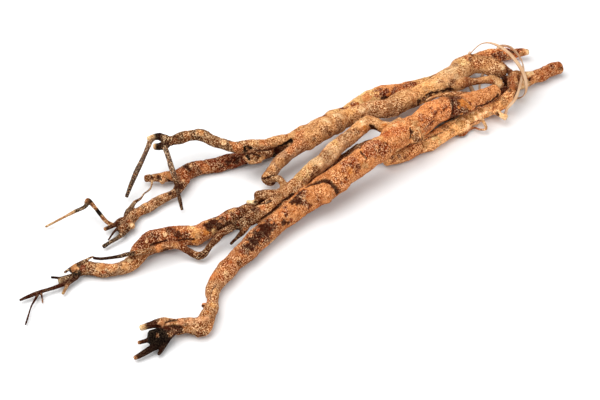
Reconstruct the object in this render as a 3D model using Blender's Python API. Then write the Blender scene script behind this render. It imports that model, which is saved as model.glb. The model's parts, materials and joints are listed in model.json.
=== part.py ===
"""A bundle of dried tongkat ali roots, tied at the head with a split strip, lying on a surface.

Blender 4.5: blender --background --python part.py. Metres, +Z up, +X from the root tips to the cut
heads. The origin is under the middle of the bundle, on the surface that it lies on.
"""

from math import pi

import bpy
import bmesh
from mathutils import Quaternion, Vector, noise

MM = 0.001

# Fineness of the solids
RING_STEP_SHARE = 0.55     # ring spacing as a share of the limb's thickness
RING_STEP_LEAST = 3.5      # mm
SIDES_THICK = 10           # limbs over THICK_LIMB mm
SIDES_MIDDLE = 8
SIDES_THIN = 6             # twigs under THIN_LIMB mm
THICK_LIMB = 9.5
THIN_LIMB = 4.5

# Uneven growth: each ring point is pushed out or in by smooth noise
LUMP_SHARE = 0.11          # of the radius
LUMP_LENGTH = 13.0         # mm, size of one lump
END_ROUNDING = 0.45        # length of the rounded end as a share of the radius


# The tie
STRIP_THICKNESS = 0.9      # mm
STRIP_LYING = 3.0          # mm, below this height the strip turns flat onto the surface
RING_CENTRE = (206.0, 24.0, 14.0)

# Routes of the limbs: stations of (x, y, height, thickness) in mm, from the grown-on end to the tip.
# The first limb of each root is its main one.
GREY_ROOT = {
    "main": [(213, 18, 18.5, 13), (211, 25, 18, 16.5), (206, 38, 16.5, 16), (192, 44.5, 16.5, 19),
             (167, 36.5, 16.5, 18.5), (152, 37, 15, 17), (134, 38, 13, 16.5), (115, 37, 13, 18.5),
             (98, 38, 12.5, 15.5), (83, 43, 13, 16.5), (63, 43, 15, 15.5), (48, 41, 17, 18),
             (28, 37, 19.5, 19.5), (9, 33, 21, 19)],
    "upper": [(12, 35, 21, 16.5), (-1, 39, 22, 11), (-13, 43, 22.5, 9), (-24, 46, 23, 9),
              (-35, 51, 23.5, 10), (-45, 54, 24, 10), (-52, 62, 25, 9), (-58, 71, 26.5, 10),
              (-61, 79, 27.5, 10.5), (-71, 85, 28.5, 8.5), (-79, 85, 29, 10.5), (-88, 85, 29.5, 9),
              (-93, 88, 30, 11.5)],
    "burl": [(-21, 37, 20.5, 9), (-31, 39, 20.5, 11.5), (-40, 40, 20.5, 10.5)],
    "burl_rim": [(-34, 35, 18, 5), (-42, 37, 18.5, 4), (-43, 44, 20, 4)],
    "prong_up": [(-91, 89, 30, 8), (-94, 94, 31, 6.5), (-98, 96, 31, 5.5), (-103, 96, 31, 5)],
    "prong_low": [(-93, 85, 29, 9), (-99, 85, 29, 6.5), (-103, 87, 29, 5.5)],
    "twig_left": [(-99, 95, 31, 4.5), (-103, 94, 30, 4.5), (-110, 89, 26, 4.5),
                  (-118, 84, 21.5, 4.5), (-129, 78, 14, 4.5), (-141, 70, 5.5, 3.5)],
    "twig_right": [(-96, 83, 29, 4.5), (-99, 72, 26, 4.5), (-102, 62, 22, 4.5), (-105, 52, 18, 4),
                   (-108, 43, 12, 3.5), (-112, 31, 5, 3)],
    "lower": [(8, 31, 20.5, 13), (-11, 28.5, 17, 11), (-21, 27, 14, 10), (-29, 23, 12, 10.5),
              (-38, 17.5, 11, 13)],
    "side": [(160, 34, 14, 12.5), (169, 29, 15, 11.5), (178, 26.5, 15.5, 8.5), (185.5, 22, 16, 6.5),
             (192.5, 18, 17, 6.5), (196.5, 12.5, 18.5, 7.5), (197.5, 7, 19, 8), (197, 2, 18.5, 6)],
}
RUST_ROOT = {
    "main": [(262, 39, 8, 5), (257, 42, 7.5, 7.5), (249, 46, 7, 10), (241, 50, 7, 11),
             (230, 55, 7.5, 11), (209, 58, 7.5, 11), (193, 56.5, 6.5, 10.5), (173, 55, 6, 11),
             (151, 54, 6.5, 13.5), (132, 56, 7, 14), (117, 61, 7.5, 16), (100, 64, 7, 15),
             (80, 62, 6.5, 12), (60, 61, 6, 12), (37, 59, 6, 12), (10, 56, 6, 12), (-13, 55, 6, 12),
             (-34, 57, 6, 11.5), (-61, 64, 6, 12), (-73, 67, 6.5, 12.5), (-83, 67, 7, 14),
             (-93, 65, 7, 14)],
    "stub": [(-89, 66, 7, 11.5), (-97, 70, 7, 9), (-105, 73, 7, 8.5), (-111, 77, 6.5, 7.5),
             (-117, 80, 6.5, 6.5)],
    "stub_knob": [(-105, 72, 7, 6.5), (-108, 69, 6, 5)],
    "knot": [(-82, 67, 9, 7.5), (-84, 69, 12, 6.5)],
    "lower": [(-92, 61, 7.5, 10.5), (-100, 55, 6.5, 9.5), (-107, 51, 6, 8), (-116, 51, 5.5, 7.5),
              (-126, 50, 5.5, 8), (-135, 48, 5.5, 8.5), (-142, 48, 5, 7.5), (-150, 45, 5, 9),
              (-159, 38, 5.5, 10.5), (-165, 36, 5, 8)],
    "nub": [(-158, 37, 6, 6.5), (-155, 34, 6, 5)],
    "twig_top": [(-155, 42, 6, 7), (-160, 45, 6.5, 5.5), (-167, 44, 6, 3.5), (-175, 45, 5, 3)],
    "twig_thin": [(-164, 41, 5, 3), (-170, 39, 4, 2), (-178, 34, 3, 1.6)],
    "twig_low": [(-164, 33, 5, 5.5), (-170, 31, 4.5, 4), (-178, 30, 4, 3.5), (-185, 29, 3.5, 3.5)],
    "rootlet": [(-156, 44, 7, 4.5), (-152, 49, 8, 4.5), (-147, 52, 8.5, 4), (-141, 56, 9, 3),
                (-135, 57, 9.5, 2), (-130, 60, 10, 1.6), (-124, 62, 10, 1.6), (-119, 67, 9, 1.6),
                (-114, 75, 8, 2.5)],
    "striped": [(-168, 45, 6, 3.5), (-171, 50, 8, 3.5), (-172, 58, 11, 3.5), (-173, 65, 14, 3.5),
                (-174.5, 71.5, 16, 4.5), (-179, 68, 14.5, 3.5), (-188, 71, 11, 3), (-197, 74, 7, 2.5),
                (-211, 77, 2.5, 2)],
}
FRONT_ROOT = {
    "main": [(183, -6, 22.5, 12.5), (171, -7, 23, 15), (155, -6, 23.5, 16), (141, -6, 23.8, 16.8),
             (129, -2, 25, 19.5), (113, -5, 25.5, 20.5), (93, -9, 26, 21), (72, -12, 26, 21.5),
             (54, -16, 26, 20), (38, -19, 25, 20.5), (19, -21, 23, 20.5), (-9, -26, 19, 21),
             (-24, -27, 17, 19), (-38, -28, 15, 18.5), (-55, -31, 13, 17.5), (-73, -36, 11, 17.5),
             (-93, -42, 9.5, 16.5), (-113, -49, 8.5, 15), (-129, -56.5, 8, 14.5), (-142, -63.5, 7, 12.5),
             (-149, -74, 7, 9.5), (-155, -82, 7, 11), (-165, -90, 7.5, 12.5), (-173, -93, 7, 11.5),
             (-179, -87, 7, 9.5), (-186, -84, 7, 10.5), (-194, -83, 7.5, 10)],
    "knee": [(126, -1, 26, 17), (131, -3, 26.5, 16)],
    "lobe": [(-22, -28, 18, 17.5), (-14.5, -31.5, 19, 19)],
    "side_knob": [(85, -15, 27, 13.5), (86, -22, 23, 11)],
    "sliver": [(161, -5, 25, 7), (156, 1, 25.5, 7), (149, 5.5, 26.5, 5.5), (138, 10.5, 27.5, 3.5),
               (129, 13.5, 27, 2.5), (124, 15, 25, 2)],
    "nub": [(-155, -78, 7, 6), (-158, -75, 8, 3.5)],
    "palm": [(-192, -85, 8, 11), (-200, -86, 7.5, 13), (-207, -83.5, 7.5, 12)],
    "heel": [(-164, -91, 7, 10), (-169, -96, 6, 9), (-176, -96, 5.5, 7)],
    "ridge": [(-164, -93, 11, 5.5), (-174, -90, 12, 6), (-182, -85, 12, 6), (-188, -82, 12, 6)],
    "prong_top": [(-186, -84, 12, 6.5), (-193, -78, 12.5, 7.5), (-198, -75, 11, 6.5), (-204, -72, 9.5, 5),
                  (-208, -70, 8, 4.5)],
    "prong_mid": [(-204, -84, 7, 6.5), (-210, -82, 6, 3.5), (-216, -80, 5.5, 3)],
    "prong_low": [(-205, -90, 5.5, 5.5), (-212, -90, 5, 5), (-219, -90, 4, 4.5), (-225, -90, 3.5, 3.5)],
    "prong_near": [(-192, -85, 6, 5.5), (-198, -90, 5, 4), (-204, -93.5, 4, 3.5), (-209, -96.5, 3.5, 2.5)],
    "branch": [(78, -5, 25, 11.5), (75, 2, 24, 10), (72, 8, 23, 10), (71, 16, 22, 11),
               (67, 21, 22, 12.5), (57, 19, 22, 12), (47, 16, 22, 12.5), (36, 12, 22, 13),
               (24, 8, 22, 13.5), (13, 3, 22, 14), (-9, -4, 22, 13), (-29, -11, 21, 12.5),
               (-41, -15, 20.5, 12.5), (-52, -18, 20, 12), (-70, -22, 19, 11.5), (-80, -23, 18.5, 11),
               (-87, -23, 17.5, 9.5), (-94, -22, 16, 7)],
    "branch_knob": [(80, 0, 25, 11), (87, 3, 25, 10)],
    "tail": [(-87, -22, 17, 7), (-94, -21, 16, 6.5), (-100, -20, 14, 6), (-106, -19, 12, 6),
             (-111, -20, 10, 6), (-119, -22, 7.5, 6), (-125, -25, 6, 6), (-130, -25, 5.5, 7),
             (-133, -21, 6, 6.5), (-136, -16, 8, 6), (-139, -11.5, 10, 6), (-143, -8.5, 11.5, 6),
             (-149, -8, 13, 6.5), (-157, -8.5, 14.5, 6), (-163, -8, 15.5, 4.5), (-170, -6, 16, 4),
             (-176, -5, 17, 4), (-181, -2, 16, 3.5), (-186, 2, 13.5, 3), (-195, 12, 8.5, 2.5),
             (-199, 19, 6, 2.5)],
    "stub": [(-45, -14, 19.5, 10.5), (-52, -10, 20, 9.5), (-58, -8, 20.5, 9.5), (-64, -6, 20.5, 9)],
    "stub_tip": [(-65, -9, 20, 5), (-70, -9, 20, 3.5), (-73, -6, 19.5, 4)],
    "frays": [(-77, -18, 21, 5.5), (-78, -13, 21.5, 3.5), (-81, -10, 21, 2.5)],
    "curl": [(-44, -15, 21, 7), (-41.5, -10, 22, 6.5), (-38.5, -5, 22.5, 6.5), (-38.5, 1, 22.5, 6.5),
             (-42, 4.5, 21.5, 6)],
    "twig": [(-86, -25, 17, 7), (-91, -27, 13, 5), (-95, -26, 9, 3.5), (-102, -26, 4.5, 2.5)],
}
PALE_ROOT = {
    "main": [(232, 0, 18.5, 4.5), (225, 2, 18.5, 7), (215, 4, 19.5, 10.5), (206, -4, 19.5, 10.5),
             (200, -10, 17.5, 10.5), (192, -11.5, 13.5, 11), (183, -10.5, 9.5, 12.5), (172, -8, 8, 13),
             (154, -9, 7, 14), (136, -11, 7, 14.2), (118, -13, 7, 14.2), (101, -14.5, 7, 14.5),
             (84, -15, 7, 14.5), (71, -14, 7, 13), (60, -13, 6, 10)],
    "neck": [(215, 5, 18, 8), (223.5, 20.5, 12, 5), (229, 34, 7.5, 4.5), (232, 42, 5, 4.5)],
    "stub": [(177, -15, 10, 8), (178, -21, 9, 5), (180, -26, 8, 5)],
    "fold": [(210, -1, 18, 9), (208, 5.5, 18.5, 8), (205.5, 9, 18.5, 6)],
    "rootlet": [(163, -11, 8, 4.5), (161, -19, 7, 3), (159, -25, 6, 3), (157, -26, 5, 2.5),
                (154, -22, 4, 2), (153, -17, 3, 2), (148, -16, 2.5, 2), (140, -19, 2.5, 2),
                (135, -18, 3, 2)],
}
RED_ROOT = {
    "main": [(269, 4, 8, 11), (261, 6, 7.5, 11.5), (248, 5, 7.5, 11.5), (235, 5, 8, 11.5),
             (218, 6, 8, 11), (204, 7, 8, 11), (189, 8, 8, 11), (169, 9, 7.5, 12), (141, 10, 7.5, 13),
             (112, 7, 7.5, 14.5), (82, 3, 8, 15.5), (57, 3, 8.5, 17), (37, 4, 8, 15.5), (20, 1, 7.5, 14.5),
             (1, 0, 7, 13.5), (-40, -3, 7, 13.5), (-80, -4.5, 7.5, 14.5), (-94, -4.5, 7.5, 15.5),
             (-108, -5, 8, 14.5), (-121, -5, 8.5, 15.5), (-131, 0, 8.5, 16), (-143, 4, 8.5, 16.5),
             (-153, 6, 9, 18), (-163, 4, 8.5, 16.5), (-173, -2, 7, 12.5), (-181, -4, 6.5, 11),
             (-191, -2, 6, 10), (-199, 2, 6, 10.5), (-204, 7, 6, 10.5), (-210, 12, 6, 10.5),
             (-216, 13, 5.5, 9)],
    "shoot": [(-213, 13, 5.5, 7.5), (-220, 9.5, 5, 5.5), (-227, 7.5, 4.5, 4.5), (-234, 8, 4, 3),
              (-242, 9, 4, 3), (-250, 10.5, 4, 3), (-260, 11.5, 3.5, 3), (-266, 12, 3, 2)],
    "sub_long": [(-250, 11, 4, 2.5), (-256, 6, 3.5, 2), (-262, 1, 3, 1.6), (-268, -6, 2.5, 1.6),
                 (-274, -13, 2, 1.6)],
    "sub_short": [(-249, 10.5, 4, 2), (-251, 5, 3, 1.6), (-253, 0, 2.5, 1.6)],
    "stub": [(-220, 10.5, 6, 4.5), (-227, 10, 6, 4.5), (-233, 10.5, 5.5, 4)],
    "dark_twig": [(-225, 11, 7, 2.5), (-231, 12.5, 7, 2), (-236, 18, 6, 2)],
    "pale_twig": [(-224, 8, 5, 3), (-230, 4.5, 4, 2.5), (-236, 0, 3, 2.5)],
    "strand": [(-201, 14.5, 12, 1.6), (-206, 14.5, 12, 2), (-213, 14.5, 11.5, 2.5),
               (-218, 15, 10.5, 2.5), (-226, 15, 8, 2)],
    "tuft": [(-213, 14, 8, 7), (-218, 15, 7.5, 6), (-221, 15, 7, 4)],
}

# The tie's closed route of two turns: stations of (x, y, height, width) in mm
TIE_BAND = [(216, 66, 0.5, 3), (217, 67, 4, 2.5), (213, 63, 12, 2.5), (204.2, 55, 20.7, 2.5),
            (198.2, 45.4, 28.4, 3), (200.5, 44, 32, 3), (206, 42, 36.5, 3.5), (210.5, 36, 39.5, 4.5),
            (213.5, 26.5, 40, 5.2), (216, 15, 37.5, 5.5), (216.5, 3.5, 33, 5.5), (216.5, -5, 27, 5),
            (215.5, -10, 20, 4.5), (215, -11.5, 14, 4), (214.5, -10, 8, 3.5), (213, -5, 2.5, 3.5),
            (207, 3, 0.5, 3), (198, 13, 0.5, 2.5), (194, 24, 0.5, 2), (203, 35, 0.5, 2),
            (215, 45, 0.5, 2.5), (232, 57, 0.5, 2.5), (246, 64, 0.5, 2.5), (251, 65, 3.5, 3),
            (249.5, 56, 10, 3), (246, 45, 15.5, 3.5), (242.5, 34, 18, 4), (238, 25, 20, 4.5),
            (232, 14.5, 22.8, 5), (224, 4, 25.4, 4.5), (217, -2.5, 24.5, 4), (210, -9, 24.5, 4),
            (204, -14, 24.5, 4), (199, -18.5, 24, 3.5), (193.5, -22, 22.5, 3.5), (189, -24, 20.5, 3),
            (185.5, -24, 18, 3), (183.5, -22.5, 13.5, 2.5), (185, -20, 7, 3), (186, -16, 2, 3),
            (185, -6, 0.5, 2.5), (185, 14, 0.5, 3), (189, 29, 0.5, 3.5), (196, 43, 0.5, 3.5),
            (205, 58, 0.5, 3.5)]

COLOURS = {
    "grey_root": (0.33, 0.23, 0.14),
    "rust_root": (0.50, 0.24, 0.10),
    "front_root": (0.46, 0.22, 0.09),
    "pale_root": (0.55, 0.33, 0.16),
    "red_root": (0.32, 0.12, 0.05),
    "tie_band": (0.72, 0.49, 0.30),
}


def through(stations, step, closed=False):
    """Vectors of four, about step mm apart, on a smooth line through the stations."""
    points = [Vector(station) for station in stations]
    if closed:
        line = [points[-1], *points, *points[:2]]
    else:
        line = [2 * points[0] - points[1], *points, 2 * points[-1] - points[-2]]
    found = []
    for before, start, end, after in zip(line, line[1:], line[2:], line[3:]):
        count = max(1, round((end.xyz - start.xyz).length / step))
        for index in range(count):
            t = index / count
            found.append(0.5 * (2 * start + (end - before) * t
                                + (2 * before - 5 * start + 4 * end - after) * t ** 2
                                + (3 * start - before - 3 * end + after) * t ** 3))
    if not closed:
        found.append(points[-1])
    return found


def limb_mesh(name, stations):
    """A closed tube through the stations, with lumps and rounded ends."""
    thickest = max(station[3] for station in stations)
    sides = SIDES_THIN if thickest < THIN_LIMB else SIDES_MIDDLE
    if thickest > THICK_LIMB:
        sides = SIDES_THICK
    mean = sum(station[3] for station in stations) / len(stations)
    line = through(stations, max(RING_STEP_LEAST, RING_STEP_SHARE * mean))
    ways = [(after.xyz - before.xyz).normalized()
            for before, after in zip([line[0], *line], [*line[1:], line[-1]])]
    side = ways[0].cross(Vector((0, 0, 1))).normalized()
    rings = []
    for point, way in zip(line, ways):
        side = (side - way * side.dot(way)).normalized()
        rings.append((point.xyz, point.w / 2, way, side))
    first, last = rings[0], rings[-1]
    reach = END_ROUNDING
    rings.insert(0, (first[0] - first[2] * first[1] * reach, first[1] * 0.6, first[2], first[3]))
    rings.append((last[0] + last[2] * last[1] * reach, last[1] * 0.6, last[2], last[3]))
    solid = bmesh.new()
    loops = []
    for centre, radius, way, across in rings:
        upright = way.cross(across)
        loop = []
        for index in range(sides):
            turn = Quaternion(way, 2 * pi * index / sides) @ upright
            lump = noise.noise((centre + turn * radius) / LUMP_LENGTH)
            spot = centre + turn * radius * (1 + 2 * LUMP_SHARE * lump)
            spot.z = max(spot.z, 0)
            loop.append(solid.verts.new(spot * MM))
        loops.append(loop)
    for low, high in zip(loops, loops[1:]):
        for index in range(sides):
            after = (index + 1) % sides
            solid.faces.new((low[index], low[after], high[after], high[index]))
    solid.faces.new(loops[0][::-1])
    solid.faces.new(loops[-1])
    bmesh.ops.recalc_face_normals(solid, faces=solid.faces)
    mesh = bpy.data.meshes.new(name)
    solid.to_mesh(mesh)
    solid.free()
    return mesh


def strip_mesh(name, stations):
    """The closed strip of the tie, flat side out."""
    centre = Vector(RING_CENTRE)
    line = through(stations, RING_STEP_LEAST, closed=True)
    count = len(line)
    solid = bmesh.new()
    loops = []
    for index, point in enumerate(line):
        way = (line[(index + 1) % count].xyz - line[index - 1].xyz).normalized()
        lying = min(1, max(0, 1.4 - point.z / STRIP_LYING))
        out = (point.xyz - centre).normalized().lerp(Vector((0, 0, -1)), lying)
        out = (out - way * out.dot(way)).normalized() * STRIP_THICKNESS / 2
        across = way.cross(out).normalized() * point.w / 2
        corners = (out + across, out - across, -out - across, -out + across)
        for corner in corners:
            corner.z = max(corner.z, 0.05 - point.z)
        loops.append([solid.verts.new((point.xyz + corner) * MM) for corner in corners])
    for index in range(count):
        low, high = loops[index], loops[(index + 1) % count]
        for corner in range(4):
            after = (corner + 1) % 4
            solid.faces.new((low[corner], low[after], high[after], high[corner]))
    bmesh.ops.recalc_face_normals(solid, faces=solid.faces)
    mesh = bpy.data.meshes.new(name)
    solid.to_mesh(mesh)
    solid.free()
    return mesh


def placed(name, mesh):
    obj = bpy.data.objects.new(name, mesh)
    bpy.context.scene.collection.objects.link(obj)
    return obj


def grown(name, limbs):
    """One root: its main limb, with every other limb fused on."""
    helpers = bpy.data.collections.new(name + "_limbs")
    bpy.context.scene.collection.children.link(helpers)
    for limb, stations in limbs.items():
        if limb != "main":
            helpers.objects.link(bpy.data.objects.new(name + "_" + limb,
                                                      limb_mesh(name + "_" + limb, stations)))
    root = placed(name, limb_mesh(name, limbs["main"]))
    union = root.modifiers.new("limbs", "BOOLEAN")
    union.operation = "UNION"
    union.operand_type = "COLLECTION"
    union.collection = helpers
    union.solver = "EXACT"
    union.use_self = True
    bpy.context.view_layer.objects.active = root
    bpy.ops.object.modifier_apply(modifier="limbs")
    for helper in list(helpers.objects):
        bpy.data.objects.remove(helper)
    bpy.data.collections.remove(helpers)
    tidy = bmesh.new()
    tidy.from_mesh(root.data)
    bmesh.ops.triangulate(tidy, faces=tidy.faces)
    tidy.to_mesh(root.data)
    tidy.free()
    return root


def paint(obj, colour):
    material = bpy.data.materials.new(obj.name)
    material.use_nodes = True
    surface = material.node_tree.nodes["Principled BSDF"]
    surface.inputs["Base Color"].default_value = (*colour, 1)
    surface.inputs["Roughness"].default_value = 0.85
    obj.data.materials.clear()
    obj.data.materials.append(material)


for startup in list(bpy.data.objects):
    bpy.data.objects.remove(startup)

bundle = bpy.data.objects.new("bundle", None)
bpy.context.scene.collection.objects.link(bundle)

# The roots, each grown as one piece
pieces = [
    grown("grey_root", GREY_ROOT),
    grown("rust_root", RUST_ROOT),
    grown("front_root", FRONT_ROOT),
    grown("pale_root", PALE_ROOT),
    grown("red_root", RED_ROOT),
]
for piece in pieces:
    for polygon in piece.data.polygons:
        polygon.use_smooth = True

# The tie
pieces.append(placed("tie_band", strip_mesh("tie_band", TIE_BAND)))

for piece in pieces:
    paint(piece, COLOURS[piece.name])
    piece.parent = bundle
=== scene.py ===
"""The looks of a bundle of tongkat ali roots tied with a split strip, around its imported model.

Blender 4.5. The tables are in mm, and everything placed in the scene is in metres.
"""

import json
from math import cos, pi, radians, sin

import bpy
import numpy as np
from mathutils import Matrix, Vector, kdtree, noise

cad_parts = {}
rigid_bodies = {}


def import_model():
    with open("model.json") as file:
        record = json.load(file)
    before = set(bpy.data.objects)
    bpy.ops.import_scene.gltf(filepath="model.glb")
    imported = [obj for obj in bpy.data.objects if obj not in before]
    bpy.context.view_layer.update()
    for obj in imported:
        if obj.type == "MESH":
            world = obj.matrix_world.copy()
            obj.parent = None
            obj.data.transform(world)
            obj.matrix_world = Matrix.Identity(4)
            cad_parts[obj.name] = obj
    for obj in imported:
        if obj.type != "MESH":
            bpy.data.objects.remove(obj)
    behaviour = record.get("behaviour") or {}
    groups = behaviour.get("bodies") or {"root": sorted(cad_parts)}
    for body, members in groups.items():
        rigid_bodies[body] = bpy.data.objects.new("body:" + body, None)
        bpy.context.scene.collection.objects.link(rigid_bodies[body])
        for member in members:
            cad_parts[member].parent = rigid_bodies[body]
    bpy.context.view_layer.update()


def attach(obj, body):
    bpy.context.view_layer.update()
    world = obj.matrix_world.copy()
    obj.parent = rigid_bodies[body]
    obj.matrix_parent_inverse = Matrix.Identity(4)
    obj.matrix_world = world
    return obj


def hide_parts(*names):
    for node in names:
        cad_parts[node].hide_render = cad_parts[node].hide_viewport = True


MM = 0.001

# Limbs, patches, dents and cracks are tables as text: semicolons part limbs and cracks, commas
# part rows, and spaces part what is in a row.

# The limbs of each root, the main one first: name / stations of x, y, height and thickness, from
# the grown-on end to the tip and as in the solids / tones: share of the limb's length, tone, and
# the tone's brightness where that isn't 1
# Some tones are painted shade: the pale root's neck and shaded side, the red root's brown middle
# where it lies between the front root and its branch, and the black in the front root's claw
GREY_LIMBS = """
main / 213 18 18.5 13, 211 25 18 16.5, 206 38 16.5 16, 192 44.5 16.5 19, 167 36.5 16.5 18.5,
  152 37 15 17, 134 38 13 16.5, 115 37 13 18.5, 98 38 12.5 15.5, 83 43 13 16.5, 63 43 15 15.5,
  48 41 17 18, 28 37 19.5 19.5, 9 33 21 19 / 0 hide, 0.09 tan, 0.19 tan, 0.27 pale 0.97,
  0.4 gold 1.06, 0.47 tan 1.1, 0.53 tan 0.96, 0.58 grey 1.12, 0.67 grey 1.2, 0.78 tan 1.04,
  1 tan 1.06;
upper / 12 35 21 16.5, -1 39 22 11, -13 43 22.5 9, -24 46 23 9, -35 51 23.5 10, -45 54 24 10,
  -52 62 25 9, -58 71 26.5 10, -61 79 27.5 10.5, -71 85 28.5 8.5, -79 85 29 10.5, -88 85 29.5 9,
  -93 88 30 11.5 / 0 tan, 0.3 tan 0.95, 0.39 grey, 0.5 grey 0.64, 0.6 grey 0.8, 0.72 dust 0.64,
  0.83 dust 0.72, 1 dust 0.53;
burl / -21 37 20.5 9, -31 39 20.5 11.5, -40 40 20.5 10.5 / 0 brown;
burl_rim / -34 35 18 5, -42 37 18.5 4, -43 44 20 4 / 0 grey;
prong_up / -91 89 30 8, -94 94 31 6.5, -98 96 31 5.5, -103 96 31 5 / 0 umber, 0.6 black, 0.72 cream;
prong_low / -93 85 29 9, -99 85 29 6.5, -103 87 29 5.5 / 0 umber, 0.8 black, 0.92 pale;
twig_left / -99 95 31 4.5, -103 94 30 4.5, -110 89 26 4.5, -118 84 21.5 4.5, -129 78 14 4.5,
  -141 70 5.5 3.5 / 0 ash 0.92, 0.25 slate 0.8, 0.5 slate 0.62, 1 slate 0.38;
twig_right / -96 83 29 4.5, -99 72 26 4.5, -102 62 22 4.5, -105 52 18 4, -108 43 12 3.5,
  -112 31 5 3 / 0 slate 0.62, 0.45 slate 0.82, 0.55 brown 0.8, 0.65 umber, 1 drab 0.6;
lower / 8 31 20.5 13, -11 28.5 17 11, -21 27 14 10, -29 23 12 10.5, -38 17.5 11 13 / 0 clay 0.88,
  0.3 buff 0.86, 0.6 buff 0.79, 1 grey 0.86;
side / 160 34 14 12.5, 169 29 15 11.5, 178 26.5 15.5 8.5, 185.5 22 16 6.5, 192.5 18 17 6.5,
  196.5 12.5 18.5 7.5, 197.5 7 19 8, 197 2 18.5 6 / 0 tan 1.06, 0.25 tan, 0.35 copper 0.74,
  0.5 clay 0.84, 0.7 tan 0.95, 0.9 tan 0.85, 1 tan 0.95"""
RUST_LIMBS = """
main / 262 39 8 5, 257 42 7.5 7.5, 249 46 7 10, 241 50 7 11, 230 55 7.5 11, 209 58 7.5 11,
  193 56.5 6.5 10.5, 173 55 6 11, 151 54 6.5 13.5, 132 56 7 14, 117 61 7.5 16, 100 64 7 15,
  80 62 6.5 12, 60 61 6 12, 37 59 6 12, 10 56 6 12, -13 55 6 12, -34 57 6 11.5, -61 64 6 12,
  -73 67 6.5 12.5, -83 67 7 14, -93 65 7 14 / 0 pale, 0.02 copper 1.15, 0.08 clay 1.18,
  0.17 straw 0.95, 0.31 straw 0.99, 0.35 tan 1.07, 0.38 orange, 0.43 orange, 0.45 straw 1.03,
  0.55 straw, 0.6 tan 1.02, 0.7 tan, 0.725 hide 0.9, 0.75 umber 1.1, 0.785 umber 1.1,
  0.81 liver 1.1, 0.85 red 1.15, 0.9 rust 0.8, 0.95 rust 0.68, 1 rust 0.83;
stub / -89 66 7 11.5, -97 70 7 9, -105 73 7 8.5, -111 77 6.5 7.5, -117 80 6.5 6.5 / 0 clay 0.85,
  0.5 hide, 1 grey 0.85;
stub_knob / -105 72 7 6.5, -108 69 6 5 / 0 pale, 1 pale 1.1;
knot / -82 67 9 7.5, -84 69 12 6.5 / 0 pale, 1 brown;
lower / -92 61 7.5 10.5, -100 55 6.5 9.5, -107 51 6 8, -116 51 5.5 7.5, -126 50 5.5 8,
  -135 48 5.5 8.5, -142 48 5 7.5, -150 45 5 9, -159 38 5.5 10.5, -165 36 5 8 / 0 rust 0.58,
  0.17 rust 0.64, 0.28 grey 0.78, 0.45 grey 0.84, 0.6 grey 0.77, 0.8 grey 0.84, 0.88 brown 0.86,
  1 brown 0.66;
nub / -158 37 6 6.5, -155 34 6 5 / 0 hide 0.78;
twig_top / -155 42 6 7, -160 45 6.5 5.5, -167 44 6 3.5, -175 45 5 3 / 0 brown, 0.5 umber 1.15,
  0.9 umber 0.8, 1 tan;
twig_thin / -164 41 5 3, -170 39 4 2, -178 34 3 1.6 / 0 umber;
twig_low / -164 33 5 5.5, -170 31 4.5 4, -178 30 4 3.5, -185 29 3.5 3.5 / 0 ash 0.68, 1 slate 0.32;
rootlet / -156 44 7 4.5, -152 49 8 4.5, -147 52 8.5 4, -141 56 9 3, -135 57 9.5 2, -130 60 10 1.6,
  -124 62 10 1.6, -119 67 9 1.6, -114 75 8 2.5 / 0 umber, 0.4 ash 0.8, 0.8 ash, 1 pale;
striped / -168 45 6 3.5, -171 50 8 3.5, -172 58 11 3.5, -173 65 14 3.5, -174.5 71.5 16 4.5,
  -179 68 14.5 3.5, -188 71 11 3, -197 74 7 2.5, -211 77 2.5 2 / 0.15 dust, 0.17 black, 0.25 black,
  0.27 dust, 0.34 dust, 0.36 black, 0.4 black, 0.42 dust, 0.44 dust, 0.47 drab 0.4, 0.61 drab 0.45,
  0.64 pale 0.85, 1 pale 0.8"""
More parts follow.
